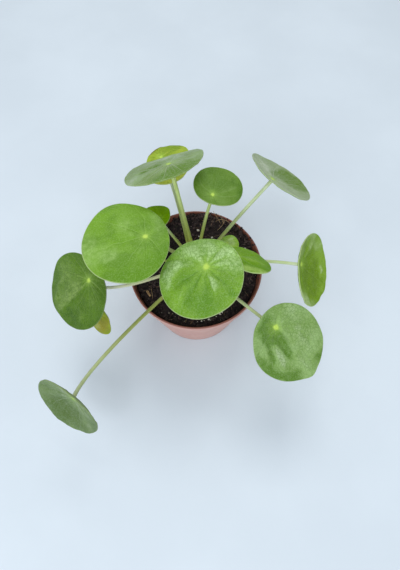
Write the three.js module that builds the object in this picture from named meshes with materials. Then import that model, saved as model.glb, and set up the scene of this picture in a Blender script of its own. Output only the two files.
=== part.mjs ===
import * as THREE from 'three';

// A potted plant with round leaves, each held near its middle by a long petiole
// that springs from one short stem. Millimetres, +Z up. The origin is the centre
// of the pot's flat base, and the plant's front is at -Y.

// Pot: tapered, thin walled, with a low band around its mouth.
const potHeight = 66;
const rimRadius = 45;
const baseRadius = 32;
const bandHeight = 5.5;
const bandStep = 0.9;
const wallThickness = 1.2;
const floorThickness = 1.6;
const potSides = 48;

// Soil: fills the pot to a little below the mouth, heaped at the back.
const soilLevel = 59.3;
const soilHeap = 5.6;
const soilHeapBearing = 68;
const soilRough = 0.7;
const seatGap = 0.3;

// Stem: short and upright in a plain hole in the soil.
const stemFoot = 46;
const stemTop = 79.5;
const stemRadius = 3.1;
const stemNodes = 6;

// Leaves: one blade thickness, and petioles that thicken towards the stem.
const bladeThickness = 0.8;
const bladeRings = [0.28, 0.58, 0.84, 1];
const bladeSides = 24;
const petioleSides = 8;
const petioleSteps = 12;

// Colours.
const terracotta = 0xb4705f;
const darkSoil = 0x2a1d18;
const paleGreen = 0xa3b36a;
const stemGreen = 0x8f9659;

// Each leaf has a dot, the point of its upper face over the petiole's end.
//   dot       place of the dot
//   tip       bearing of the line from the dot to the far end of the blade
//   drop      how far that line dips below level
//   roll      turn of the blade about that line
//   size      blade length along that line, and width
//   offset    distance from the dot to the blade's middle
//   dome      how much lower the edge is than the dot, below zero for a dish
//   bend      extra fall towards the far end
//   waves     lobes, height and phase of each ripple at the edge
//   nicks     bearing around the edge, depth as a share of the radius, spread
//   node      bearing and height of the petiole's foot on the stem
//   reach     point that the petiole sets off towards
//   neck      length that the petiole runs square to the blade
//   girth     petiole diameter at the stem and at the blade
const leaves = [
  {
    name: 'left_big', dot: [-27, -10.5, 121.2], tip: -165, drop: -1.4, roll: 0,
    size: [48.2, 50.7], offset: 11.3, dome: 1.5, bend: 0.8,
    waves: [[2, 0.33, -137], [3, 0.74, -142], [5, 0.35, 20]], nicks: [],
    node: [195, 74.5], reach: [-17.7, -0.3, 93.7], neck: 4, girth: [2.4, 2], colour: 0x6ea332,
  },
  {
    name: 'middle', dot: [6.1, -24, 111.2], tip: -119, drop: 8.4, roll: -10,
    size: [48.7, 47.5], offset: 6.3, dome: 1.6, bend: 0.2,
    waves: [[2, 0.24, 79], [3, 0.49, -106], [6, 0.4, 50]], nicks: [],
    node: [-70, 75.5], reach: [4, -13, 88], neck: 8, girth: [2.4, 2], colour: 0x62a13d,
  },
  {
    name: 'top_left', dot: [-14.8, 30.9, 131.3], tip: 125.5, drop: 35.3, roll: -3,
    size: [50, 49.4], offset: 9.7, dome: 2.9, bend: 0.5,
    waves: [[2, 0.71, -82], [3, 0.54, -50]], nicks: [],
    node: [95.7, 70.1], reach: [-8.7, 23.8, 94.2], neck: 12, girth: [2.9, 2.4], colour: 0x74925f,
  },
  {
    name: 'top_right', dot: [45.9, 30.4, 118.6], tip: 41.8, drop: 40.9, roll: -3.3,
    size: [43.6, 44], offset: 8.8, dome: -2.4, bend: -0.2,
    waves: [[2, 0.48, 78], [3, 0.38, -9]], nicks: [],
    node: [35.5, 65.4], reach: [22.2, 18.2, 90.1], neck: 2.7, girth: [2.4, 2.1], colour: 0x789765,
  },
  {
    name: 'left_low', dot: [-63.2, -24, 93.8], tip: -159.5, drop: 41.5, roll: 15,
    size: [47.1, 48], offset: 13.4, dome: 0.5, bend: 0.3,
    waves: [[2, 0.63, -87], [3, 0.45, 10], [5, 0.3, 80]], nicks: [],
    node: [182, 67.6], reach: [-68, -35.5, 80.2], neck: 5.5, girth: [2.2, 2], colour: 0x4c8433,
  },
  {
    name: 'right_low', dot: [46.4, -51.6, 88.2], tip: -40.6, drop: 27.9, roll: -5.8,
    size: [46.5, 45.2], offset: 12.2, dome: 0.4, bend: -0.2,
    waves: [[2, 1.01, -11], [3, 0.5, 56], [6, 0.35, 30]], nicks: [[-9, 0.06, 12]],
    node: [-42, 66.6], reach: [14.2, -19.4, 79.3], neck: 3, girth: [2.2, 2], colour: 0x5a9050,
  },
  {
    name: 'far_left', dot: [-68.4, -89.3, 78.1], tip: -159.3, drop: 68.4, roll: 35.3,
    size: [43, 43.6], offset: 12.5, dome: -2.1, bend: -1.5,
    waves: [[2, 0.23, 90]], nicks: [],
    node: [232, 64.5], reach: [-65.4, -73.4, 79.6], neck: 2, girth: [2.5, 2.1], colour: 0x5c7d4f,
  },
  {
    name: 'right_edge', dot: [63.2, -14.8, 96.2], tip: 2.3, drop: 56.6, roll: -17.8,
    size: [43, 44.9], offset: 9.2, dome: -3.8, bend: -0.5,
    waves: [[2, 0.21, 141], [3, 0.43, 17]], nicks: [[-31, -0.06, 9]],
    node: [-8.6, 63.5], reach: [37, -2.7, 85.8], neck: 3.7, girth: [2.1, 1.9], colour: 0x518431,
  },
  {
    name: 'top_middle', dot: [10.6, 24.3, 111.9], tip: 62.8, drop: -1.8, roll: -5.7,
    size: [28.2, 31], offset: 7.3, dome: 0.3, bend: 0.5,
    waves: [[2, 0.5, -25], [3, 0.53, 117]], nicks: [],
    node: [72, 73.9], reach: [6.7, 25.8, 94.3], neck: 4.3, girth: [2.2, 1.9], colour: 0x44792a,
  },
  {
    name: 'yellowing', dot: [-23.1, 61.6, 103], tip: -49.7, drop: -3.2, roll: -15.7,
    size: [28.9, 32.1], offset: 7.1, dome: 1.2, bend: 0,
    waves: [[2, 0.85, -93], [3, 1.23, 153]], nicks: [],
    node: [128.4, 62], reach: [-11.6, 39.5, 89.3], neck: 7.2, girth: [2, 1.8], colour: 0xb3c13b,
  },
  {
    name: 'right_inner', dot: [25.4, -10.8, 99], tip: -10.2, drop: 13.2, roll: 36,
    size: [30.1, 30], offset: 6.4, dome: 0.6, bend: 0.3,
    waves: [[2, 0.15, 90], [3, 0.25, 120]], nicks: [],
    node: [8, 70], reach: [10, 1, 80], neck: 7, girth: [2, 1.7], colour: 0x5f9c35,
  },
  {
    name: 'left_back', dot: [-23.7, 20.8, 92.1], tip: 124.8, drop: 10.8, roll: 7.3,
    size: [20, 18.4], offset: 3.2, dome: 0.6, bend: 0.2,
    waves: [[2, 0.65, -87], [3, 0.59, -28]], nicks: [],
    node: [144.8, 73], reach: [-19, 16.8, 87.5], neck: 3.3, girth: [2.1, 1.7], colour: 0x4a8a1f,
  },
  {
    name: 'drying', dot: [-62.9, -35.2, 71.4], tip: -69.2, drop: 54.1, roll: -26.8,
    size: [25.7, 12.1], offset: 7.2, dome: 0.7, bend: 0.1,
    waves: [[2, 0.41, 135], [3, 0.28, -156]], nicks: [],
    node: [188.4, 62.9], reach: [-74, 23, 73.8], neck: 3.5, girth: [1.7, 1.4], colour: 0x9c9434,
  },
  {
    name: 'young', dot: [21.2, 12.8, 73.5], tip: 29.2, drop: 6.4, roll: -1.8,
    size: [13.6, 12.7], offset: 2, dome: 1.1, bend: 0,
    waves: [[2, 0.26, -104], [3, 0.33, -138]], nicks: [],
    node: [22, 62], reach: [12, 4.5, 64.6], neck: 3, girth: [1.6, 1.3], colour: 0x69b032,
  },
];

function radians(degrees) {
  return THREE.MathUtils.degToRad(degrees);
}

// A closed body from a list of points and a list of triangles.
function bodyGeometry(points, triangles) {
  const geometry = new THREE.BufferGeometry();
  geometry.setAttribute('position', new THREE.Float32BufferAttribute(points.flat(), 3));
  geometry.setIndex(triangles.flat());
  geometry.computeVertexNormals();
  return geometry;
}

function namedMesh(name, geometry, colour, roughness) {
  const material = new THREE.MeshStandardMaterial({ color: colour, roughness, metalness: 0 });
  material.name = name;
  const mesh = new THREE.Mesh(geometry, material);
  mesh.name = name;
  return mesh;
}

// Two triangles for each place in a grid of rings, wound for an outward face.
function ringBand(inner, outer, sides) {
  const triangles = [];
  for (let i = 0; i < sides; i += 1) {
    const j = (i + 1) % sides;
    triangles.push([inner + i, outer + i, outer + j]);
    triangles.push([inner + i, outer + j, inner + j]);
  }
  return triangles;
}

// Triangles that close a ring around one middle point.
function ringFan(middle, ring, sides, flipped) {
  const triangles = [];
  for (let i = 0; i < sides; i += 1) {
    const j = (i + 1) % sides;
    triangles.push(flipped ? [middle, ring + j, ring + i] : [middle, ring + i, ring + j]);
  }
  return triangles;
}

// Pot walls.
const bandBottom = potHeight - bandHeight;
const wallTopRadius = rimRadius - bandStep;

function outerRadiusAt(z) {
  return THREE.MathUtils.lerp(baseRadius, wallTopRadius, z / bandBottom);
}

function innerRadiusAt(z) {
  return outerRadiusAt(z) - wallThickness;
}

function potGeometry() {
  const lip = wallThickness / 2;
  const lipMiddle = rimRadius - lip;
  const profile = [
    new THREE.Vector2(0, 0),
    new THREE.Vector2(baseRadius - 0.9, 0),
    new THREE.Vector2(outerRadiusAt(0.8), 0.8),
    new THREE.Vector2(wallTopRadius, bandBottom),
    new THREE.Vector2(rimRadius - 0.2, bandBottom + 0.4),
  ];
  for (const angle of [0, 45, 90, 135, 180]) {
    const x = lipMiddle + lip * Math.cos(radians(angle));
    profile.push(new THREE.Vector2(x, potHeight - lip + lip * Math.sin(radians(angle))));
  }
  profile.push(new THREE.Vector2(innerRadiusAt(bandBottom), bandBottom - 0.6));
  profile.push(new THREE.Vector2(innerRadiusAt(floorThickness + 1), floorThickness + 1));
  profile.push(new THREE.Vector2(innerRadiusAt(floorThickness) - 1, floorThickness));
  profile.push(new THREE.Vector2(0, floorThickness));
  const geometry = new THREE.LatheGeometry(profile, potSides);
  geometry.rotateX(Math.PI / 2);
  return geometry;
}

// Height of the soil: level with small lumps, rising to the heap near the wall.
function soilHeight(radius, bearing) {
  const x = radius * Math.cos(bearing);
  const y = radius * Math.sin(bearing);
  const lumps = Math.sin(0.47 * x + 1.3) * Math.cos(0.53 * y)
    + 0.6 * Math.sin(0.9 * x - 0.8 * y);
  const turn = Math.cos(bearing - radians(soilHeapBearing));
  const heap = soilHeap * Math.max(0, turn) ** 2 * (radius / rimRadius) ** 2;
  return soilLevel + soilRough * lumps + heap;
}

function soilGeometry() {
  const hole = stemRadius + 0.8;
  const radii = [hole, 8, 13, 18, 23, 28, 33, 37.5];
  const points = [];
  const triangles = [];
  const ringAt = (radiusAt, heightAt) => {
    const first = points.length;
    for (let i = 0; i < potSides; i += 1) {
      const bearing = (2 * Math.PI * i) / potSides;
      const radius = radiusAt(bearing);
      points.push([radius * Math.cos(bearing), radius * Math.sin(bearing), heightAt(radius, bearing)]);
    }
    return first;
  };
  const holeFloor = ringAt(() => hole, () => stemFoot);
  const rings = radii.map((radius) => ringAt(() => radius, soilHeight));
  const edge = (bearing) => innerRadiusAt(soilHeight(rimRadius - 3, bearing)) - seatGap - 0.1;
  rings.push(ringAt(edge, soilHeight));
  const foot = floorThickness + seatGap;
  const footRing = ringAt(() => innerRadiusAt(foot) - 1.6, () => foot);
  const holeMiddle = points.push([0, 0, stemFoot]) - 1;
  const footMiddle = points.push([0, 0, foot]) - 1;
  triangles.push(...ringFan(holeMiddle, holeFloor, potSides, false));
  triangles.push(...ringBand(holeFloor, rings[0], potSides));
  for (let k = 1; k < rings.length; k += 1) {
    triangles.push(...ringBand(rings[k - 1], rings[k], potSides));
  }
  triangles.push(...ringBand(rings[rings.length - 1], footRing, potSides));
  triangles.push(...ringFan(footMiddle, footRing, potSides, true));
  return bodyGeometry(points, triangles);
}

// A round rod along a curve, with a radius for each place and flat ends.
function rodGeometry(curve, radiusAt, steps, sides) {
  const frames = curve.computeFrenetFrames(steps, false);
  const points = [];
  const triangles = [];
  for (let k = 0; k <= steps; k += 1) {
    const middle = curve.getPointAt(k / steps);
    const radius = radiusAt(k / steps);
    for (let i = 0; i < sides; i += 1) {
      const turn = (2 * Math.PI * i) / sides;
      const point = middle.clone()
        .addScaledVector(frames.normals[k], radius * Math.cos(turn))
        .addScaledVector(frames.binormals[k], radius * Math.sin(turn));
      points.push(point.toArray());
    }
  }
  for (let k = 0; k < steps; k += 1) {
    triangles.push(...ringBand((k + 1) * sides, k * sides, sides));
  }
  const start = points.push(curve.getPointAt(0).toArray()) - 1;
  const end = points.push(curve.getPointAt(1).toArray()) - 1;
  triangles.push(...ringFan(start, 0, sides, true));
  triangles.push(...ringFan(end, steps * sides, sides, false));
  return bodyGeometry(points, triangles);
}

function stemRadiusAt(height) {
  const along = (height - stemFoot) / (stemTop - stemFoot);
  const swelling = 0.06 * Math.cos(2 * Math.PI * stemNodes * along);
  const crown = Math.min(1, 0.45 + 6 * (1 - along));
  return stemRadius * (1 - 0.14 * along + swelling) * crown;
}

function stemGeometry() {
  const foot = new THREE.Vector3(0, 0, stemFoot + seatGap);
  const top = new THREE.Vector3(0, 0, stemTop);
  const radiusAt = (along) => stemRadiusAt(THREE.MathUtils.lerp(foot.z, top.z, along));
  return rodGeometry(new THREE.LineCurve3(foot, top), radiusAt, 24, 12);
}

// The blade's own directions: along to the tip, facing up, and across.
function bladeAxes(leaf) {
  const bearing = radians(leaf.tip);
  const drop = radians(leaf.drop);
  const roll = radians(leaf.roll);
  const along = new THREE.Vector3(
    Math.cos(bearing) * Math.cos(drop),
    Math.sin(bearing) * Math.cos(drop),
    -Math.sin(drop),
  );
  const level = new THREE.Vector3(
    Math.cos(bearing) * Math.sin(drop),
    Math.sin(bearing) * Math.sin(drop),
    Math.cos(drop),
  );
  const side = level.clone().cross(along);
  const facing = level.multiplyScalar(Math.cos(roll)).addScaledVector(side, Math.sin(roll));
  const across = facing.clone().cross(along);
  return { along, across, facing };
}

// Radius of the blade's edge around its middle, as a share of a plain oval.
function edgeShare(leaf, turn) {
  let share = 1;
  for (const [bearing, depth, spread] of leaf.nicks) {
    const gap = THREE.MathUtils.euclideanModulo(turn - bearing + 180, 360) - 180;
    share += depth * Math.exp(-((gap / spread) ** 2));
  }
  return share;
}

// A point of the blade's middle surface, from the dot (0) out to the edge (1).
function bladePoint(leaf, axes, ring, turn) {
  const [length, width] = leaf.size;
  const share = edgeShare(leaf, turn);
  const x = ring * (leaf.offset + (length / 2) * share * Math.cos(radians(turn)));
  const y = ring * (width / 2) * share * Math.sin(radians(turn));
  let z = -leaf.dome * ring ** 2 - leaf.bend * (x / (length / 2)) ** 2;
  for (const [lobes, height, phase] of leaf.waves) {
    z += height * ring ** 3 * Math.cos(radians(lobes * turn + phase));
  }
  return new THREE.Vector3(...leaf.dot)
    .addScaledVector(axes.along, x)
    .addScaledVector(axes.across, y)
    .addScaledVector(axes.facing, z);
}

// Two alike faces, one above and one below the middle surface, joined at the edge.
function bladeGeometry(leaf) {
  const axes = bladeAxes(leaf);
  const points = [];
  const triangles = [];
  const faceCount = 1 + bladeRings.length * bladeSides;
  for (const shift of [bladeThickness / 2, -bladeThickness / 2]) {
    const lift = axes.facing.clone().multiplyScalar(shift);
    points.push(new THREE.Vector3(...leaf.dot).add(lift).toArray());
    for (const ring of bladeRings) {
      for (let i = 0; i < bladeSides; i += 1) {
        points.push(bladePoint(leaf, axes, ring, (360 * i) / bladeSides).add(lift).toArray());
      }
    }
  }
  for (const [first, flipped] of [[0, false], [faceCount, true]]) {
    triangles.push(...ringFan(first, first + 1, bladeSides, flipped));
    for (let k = 1; k < bladeRings.length; k += 1) {
      const inner = first + 1 + (k - 1) * bladeSides;
      const band = ringBand(inner, inner + bladeSides, bladeSides);
      triangles.push(...(flipped ? band.map(([a, b, c]) => [a, c, b]) : band));
    }
  }
  const rim = 1 + (bladeRings.length - 1) * bladeSides;
  triangles.push(...ringBand(rim, faceCount + rim, bladeSides));
  return bodyGeometry(points, triangles);
}

// The petiole leaves the stem's side and ends square under the blade's dot.
function petioleGeometry(leaf) {
  const { facing } = bladeAxes(leaf);
  const [bearing, height] = leaf.node;
  const [thick, thin] = leaf.girth;
  const outward = new THREE.Vector3(Math.cos(radians(bearing)), Math.sin(radians(bearing)), 0);
  const reach = new THREE.Vector3(...leaf.reach);
  const start = outward.clone().multiplyScalar(stemRadius);
  start.z = height;
  const steepness = reach.clone().sub(start).normalize().z;
  const widest = stemRadiusAt(height) + 0.1;
  start.addScaledVector(outward, widest + seatGap + 0.65 * thick * steepness - stemRadius);
  const end = new THREE.Vector3(...leaf.dot)
    .addScaledVector(facing, -bladeThickness / 2 - seatGap);
  const neck = end.clone().addScaledVector(facing, -leaf.neck);
  const curve = new THREE.CubicBezierCurve3(start, reach, neck, end);
  const radiusAt = (along) => {
    const swelling = 1 + 0.25 * Math.exp(-14 * along) + 0.2 * Math.exp(-30 * (1 - along));
    return (THREE.MathUtils.lerp(thick, thin, along) / 2) * swelling;
  };
  return rodGeometry(curve, radiusAt, petioleSteps, petioleSides);
}

const plant = new THREE.Group();
plant.name = 'potted_pilea_plant';
plant.add(namedMesh('pot', potGeometry(), terracotta, 0.55));
plant.add(namedMesh('soil', soilGeometry(), darkSoil, 0.95));
plant.add(namedMesh('stem', stemGeometry(), stemGreen, 0.7));
for (const leaf of leaves) {
  plant.add(namedMesh(`petiole_${leaf.name}`, petioleGeometry(leaf), paleGreen, 0.5));
  plant.add(namedMesh(`blade_${leaf.name}`, bladeGeometry(leaf), leaf.colour, 0.4));
}

export default plant;
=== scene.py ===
import bpy
import bmesh
import random
from math import atan2, cos, degrees, exp, hypot, pi, radians, remainder, sin, tau
from mathutils import Matrix, Vector, noise
from mathutils.geometry import interpolate_bezier


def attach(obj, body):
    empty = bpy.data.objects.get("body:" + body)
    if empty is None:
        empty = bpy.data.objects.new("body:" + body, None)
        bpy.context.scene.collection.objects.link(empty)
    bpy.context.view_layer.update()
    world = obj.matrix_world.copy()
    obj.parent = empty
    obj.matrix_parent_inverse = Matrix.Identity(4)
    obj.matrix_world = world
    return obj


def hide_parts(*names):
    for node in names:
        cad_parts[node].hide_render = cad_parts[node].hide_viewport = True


# A potted plant with round leaves. Sizes and places are in millimetres, turns in degrees.
# Texture scales and bump distances are in metres, since materials read object coordinates.
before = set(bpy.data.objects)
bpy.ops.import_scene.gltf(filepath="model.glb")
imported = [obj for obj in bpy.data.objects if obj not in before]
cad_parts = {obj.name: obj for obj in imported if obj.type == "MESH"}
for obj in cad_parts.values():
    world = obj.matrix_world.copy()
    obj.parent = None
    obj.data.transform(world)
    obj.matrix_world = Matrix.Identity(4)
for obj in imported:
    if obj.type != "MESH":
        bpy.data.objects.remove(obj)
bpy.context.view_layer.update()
mm = 0.001
print("frame loaded")


def addObject(name, data, place=(0, 0, 0)):
    made = bpy.data.objects.new(name, data)
    made.location = Vector(place) * mm
    bpy.context.collection.objects.link(made)
    return made


# Turns a finished bmesh into an object.
def meshObject(bm, name, materials):
    mesh = bpy.data.meshes.new(name)
    bm.to_mesh(mesh)
    bm.free()
    for material in materials:
        mesh.materials.append(material)
    return addObject(name, mesh)


# Camera: looks down on the plant from the front, at the photograph's angle.
cameraSet = {"place": (2.8, -126.04, 308.74), "tilt": 24.69, "lens": 25.33, "sensor": 36,
             "near": 10, "far": 20000}


def addCamera():
    data = bpy.data.cameras.new("camera")
    data.lens = cameraSet["lens"]
    data.sensor_width = cameraSet["sensor"]
    data.clip_start = cameraSet["near"] * mm
    data.clip_end = cameraSet["far"] * mm
    camera = addObject("camera", data, cameraSet["place"])
    camera.rotation_euler = (radians(cameraSet["tilt"]), 0, 0)
    bpy.context.scene.camera = camera


addCamera()
print("camera placed")


# Short helpers for shader nodes. A node or socket knows its own tree, so none is passed on.
def linear(code):
    parts = [int(code[i:i + 2], 16) / 255 for i in (0, 2, 4)]
    return tuple(p / 12.92 if p <= 0.04045 else ((p + 0.055) / 1.055) ** 2.4 for p in parts) + (1.0,)


# Puts other sockets, numbers or colour codes into the sockets of a node.
def feed(node, inputs):
    for key, value in inputs.items():
        if isinstance(value, bpy.types.NodeSocket):
            node.id_data.links.new(value, node.inputs[key])
        else:
            node.inputs[key].default_value = linear(value) if isinstance(value, str) else value


def addNode(near, kind, inputs=None, **settings):
    made = near.id_data.nodes.new("ShaderNode" + kind)
    for key, value in settings.items():
        setattr(made, key, value)
    feed(made, inputs or {})
    return made


# A new material, its shader, and the place on the object for its textures.
def newMaterial(name):
    material = bpy.data.materials.new(name)
    material.use_nodes = True
    shader = material.node_tree.nodes["Principled BSDF"]
    return material, shader, addNode(shader, "TexCoord").outputs["Object"]


def firstSocket(values):
    return next(value for value in values if isinstance(value, bpy.types.NodeSocket))


def calc(operation, *values):
    return addNode(firstSocket(values), "Math", dict(enumerate(values)), operation=operation).outputs[0]


def times(first, second):
    return calc("MULTIPLY", first, second)


def fade(value, low, high, start=0.0, end=1.0):
    limits = {"Value": value, "From Min": low, "From Max": high, "To Min": start, "To Max": end}
    return addNode(value, "MapRange", limits, interpolation_type="SMOOTHSTEP").outputs["Result"]


def blend(*values):
    return addNode(firstSocket(values), "Mix", dict(zip((0, 6, 7), values)), data_type="RGBA").outputs[2]


def grain(vector, scale, detail=3.0, rough=0.5):
    inputs = {"Vector": vector, "Scale": scale, "Detail": detail, "Roughness": rough}
    return addNode(vector, "TexNoise", inputs).outputs["Fac"]


# Noise faded between two levels, which makes most of the tones below.
def mottle(vector, scale, detail, low, high, start=0.0, end=1.0, rough=0.5):
    return fade(grain(vector, scale, detail, rough), low, high, start, end)


def cells(vector, scale, feature="F1"):
    made = addNode(vector, "TexVoronoi", {"Vector": vector, "Scale": scale}, feature=feature)
    return made.outputs["Distance"]


def bump(height, strength, distance, normal=None):
    inputs = {"Height": height, "Strength": strength, "Distance": distance}
    if normal:
        inputs["Normal"] = normal
    return addNode(height, "Bump", inputs).outputs["Normal"]


def split(vector):
    return addNode(vector, "SeparateXYZ", {0: vector}).outputs


def uvMap(shader, name):
    return addNode(shader, "UVMap", uv_map=name).outputs[0]


# Roughness that wanders between two values.
def varied(place, scale, detail, low, high):
    return mottle(place, scale, detail, 0.3, 0.7, low, high)


# Short helpers for shapes.
def lerp(a, b, t):
    return a + (b - a) * t


def smoothStep(low, high, value):
    t = min(1, max(0, (value - low) / (high - low)))
    return t * t * (3 - 2 * t)


def bell(distance, reach):
    return exp(-(distance / reach) ** 2)


# Studio: a pale floor, an even sky, one large soft light behind, one in front and a small one.
studio = {
    "sky": "e7edf2", "skyStrength": 0.63, "aim": (0, 0, 60),
    "lights": [
        {"name": "softbox", "place": (20, 470, 1145), "size": 520, "power": 5.0, "colour": "fffefa"},
        {"name": "front", "place": (-300, -980, 640), "size": 900, "power": 7.4, "colour": "f8fafd"},
        {"name": "small", "place": (-190, -450, 1110), "size": 240, "power": 1.4, "colour": "f4f8ff"},
    ],
}
paper = {"size": 3000, "below": 0.1, "colours": ("d0dae3", "d5dfe8"), "roughness": 0.75, "shine": 0.25}


def addSky():
    world = bpy.data.worlds.new("studio sky")
    world.use_nodes = True
    feed(world.node_tree.nodes["Background"], {"Color": studio["sky"], "Strength": studio["skyStrength"]})
    bpy.context.scene.world = world
    bpy.context.scene.view_settings.view_transform = "Standard"


def addLamp(item):
    data = bpy.data.lights.new(item["name"], "AREA")
    data.size = item["size"] * mm
    data.energy = item["power"]
    data.color = linear(item["colour"])[:3]
    aim = Vector(studio["aim"]) - Vector(item["place"])
    lamp = addObject(item["name"], data, item["place"])
    lamp.rotation_euler = aim.to_track_quat("-Z", "Y").to_euler()


def paperMaterial():
    material, shader, place = newMaterial("floor paper")
    feed(shader, {"Base Color": blend(mottle(place, 9, 4, 0.35, 0.7), *paper["colours"]),
                  "Roughness": paper["roughness"], "Specular IOR Level": paper["shine"],
                  "Normal": bump(grain(place, 700, 4), 0.08, 0.0005)})
    return material


def addFloor(material):
    bm = bmesh.new()
    bmesh.ops.create_grid(bm, x_segments=1, y_segments=1, size=paper["size"] / 2 * mm)
    bmesh.ops.translate(bm, verts=bm.verts, vec=(0, 0, -paper["below"] * mm))
    floor = meshObject(bm, "floor", [material])


addSky()
for item in studio["lights"]:
    addLamp(item)
addFloor(paperMaterial())
print("studio ready")


# A finished bmesh in millimetres becomes a piece that rides on the plant's one body.
def finishPiece(bm, name, materials, node=None):
    bmesh.ops.scale(bm, vec=(mm, mm, mm), verts=bm.verts)
    for face in bm.faces:
        face.smooth = True
    piece = meshObject(bm, name, materials)
    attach(piece, "root")
    if node:
        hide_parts(node)


# Joins points into a line of wire edges, ready to be spun.
def wireLine(bm, points):
    made = [bm.verts.new(point) for point in points]
    return [bm.edges.new(pair) for pair in zip(made, made[1:])]


def faceOutward(bm):
    bmesh.ops.recalc_face_normals(bm, faces=bm.faces)


def spinAll(bm, steps):
    bmesh.ops.spin(bm, geom=bm.verts[:] + bm.edges[:], cent=(0, 0, 0), axis=(0, 0, 1),
                   angle=tau, steps=steps, use_merge=True)
    bmesh.ops.remove_doubles(bm, verts=bm.verts, dist=1e-5)
    faceOutward(bm)


# Pot: thin plastic, tapered, with a low band around the mouth.
pot = {
    "height": 66, "rim": 45, "base": 32, "band": 5.5, "step": 0.9, "wall": 1.2, "floor": 1.6,
    "footIn": 0.9, "footUp": 0.8, "bandIn": 0.2, "bandUp": 0.4, "soften": 0.16, "oval": 0.0012,
    "turns": 180, "lipSteps": 8, "outerRings": (12, 24, 36, 48), "innerRings": (40, 20),
    "wallColour": "c29287", "wallPale": "c99c91", "lipColour": "8d5548", "insideShadeColour": "84503f",
    "dirt": "4a2c22",
}
bandBottom = pot["height"] - pot["band"]
wallTop = pot["rim"] - pot["step"]


def outerRadius(z):
    return lerp(pot["base"], wallTop, z / bandBottom)


def innerRadius(z):
    return outerRadius(z) - pot["wall"]


def potMaterial():
    material, shader, place = newMaterial("terracotta plastic")
    cloud = grain(place, 60, 4)
    tone = blend(fade(cloud, 0.35, 0.7), pot["wallColour"], pot["wallPale"])
    x, y, height = split(place)
    spread = calc("SQRT", calc("ADD", times(x, x), times(y, y)))
    # the inner face is painted darker brown as shade, and the top of the lip is darker brown
    outside = calc("ADD", times(height, 0.2), (pot["base"] - 0.6) * mm)
    inside = calc("LESS_THAN", spread, outside)
    tone = blend(inside, tone, pot["insideShadeColour"])
    lip = fade(height, (pot["height"] - 1.3) * mm, (pot["height"] - 0.5) * mm)
    tone = blend(lip, tone, pot["lipColour"])
    # a little dirt near the mouth
    dirt = mottle(place, 900, 5, 0.62, 0.75, rough=0.7)
    high = fade(height, 56 * mm, 65 * mm)
    tone = blend(times(dirt, times(high, 0.5)), tone, pot["dirt"])
    fine = bump(grain(place, 1800, 3), 0.12, 0.0002)
    feed(shader, {"Base Color": tone, "Roughness": varied(place, 300, 4, 0.42, 0.56),
                  "Normal": bump(cloud, 0.25, 0.0008, fine)})
    return material


# Half of the pot's section, from the middle of its base to the middle of its floor.
def potOutline():
    lip = pot["wall"] / 2
    line = [(0, 0), (pot["base"] - pot["footIn"], 0), (outerRadius(pot["footUp"]), pot["footUp"])]
    line += [(outerRadius(z), z) for z in pot["outerRings"]]
    line += [(wallTop, bandBottom), (pot["rim"] - pot["bandIn"], bandBottom + pot["bandUp"])]
    for step in range(pot["lipSteps"] + 1):
        angle = pi * step / pot["lipSteps"]
        line.append((pot["rim"] - lip + lip * cos(angle), pot["height"] - lip + lip * sin(angle)))
    line += [(innerRadius(z), z) for z in (bandBottom - 0.6, *pot["innerRings"], pot["floor"] + 1)]
    line += [(innerRadius(pot["floor"]) - 1, pot["floor"]), (0, pot["floor"])]
    return [(radius, 0, z) for radius, z in line]


# The level edges of the foot and of the band's underside.
def potCorners(bm):
    corners = []
    for edge in bm.edges:
        low, high = edge.verts
        radius = hypot(low.co.x, low.co.y)
        level = abs(low.co.z - high.co.z) < 1e-4 and abs(hypot(high.co.x, high.co.y) - radius) < 1e-3
        foot = low.co.z < 1 and radius > pot["base"] - 2
        band = abs(low.co.z - bandBottom) < 0.5 and radius > wallTop - 0.5
        if level and (foot or band) and edge.calc_face_angle(0) > 0.3:
            corners.append(edge)
    return corners


def makePot(material):
    bm = bmesh.new()
    wireLine(bm, potOutline())
    spinAll(bm, pot["turns"])
    bmesh.ops.bevel(bm, geom=potCorners(bm), offset=pot["soften"], segments=2, affect="EDGES",
                    profile=0.5, material=-1)
    faceOutward(bm)
    # thin plastic is never quite round
    for vert in bm.verts:
        turn = atan2(vert.co.y, vert.co.x)
        share = 1 + pot["oval"] * sin(2 * turn + 0.6) * vert.co.z / pot["height"]
        vert.co.x *= share
        vert.co.y *= share
    finishPiece(bm, "pot_wall", [material], "pot")


makePot(potMaterial())
print("pot made")


# Soil: dark peat, heaped at the back, with a plain hole for the stem.
soil = {
    "level": 59.3, "heap": 5.6, "heapBearing": 68, "rough": 0.7, "gap": 0.4,
    "hole": 3.9, "holeFoot": 46, "foot": 1.9, "footIn": 1.6, "turns": 220, "rings": 74,
    "lumps": [(5.5, 0.8), (2.4, 0.65), (1.1, 0.4)],
    "shrunk": 1.5, "shrunkBehind": 0.2, "shrinkReach": 1.3, "edgeFrom": 30,
    "dark": "130e10", "middle": "352828", "light": "75645c", "shine": 0.3,
}


def towardHeap(x, y):
    return max(0, cos(atan2(y, x) - radians(soil["heapBearing"])))


def soilPlain(x, y):
    lumps = sin(0.47 * x + 1.3) * cos(0.53 * y) + 0.6 * sin(0.9 * x - 0.8 * y)
    heap = soil["heap"] * towardHeap(x, y) ** 2 * (hypot(x, y) / pot["rim"]) ** 2
    return soil["level"] + soil["rough"] * lumps + heap


def soilTop(x, y):
    height = soilPlain(x, y)
    for size, depth in soil["lumps"]:
        height += depth * noise.noise(Vector((x / size, y / size, 3.7 * size)))
    # it has shrunk a little from the wall
    toWall = max(0, innerRadius(height) - hypot(x, y))
    shrunk = lerp(soil["shrunk"], soil["shrunkBehind"], towardHeap(x, y))
    return height - shrunk * bell(toWall, soil["shrinkReach"])


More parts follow.
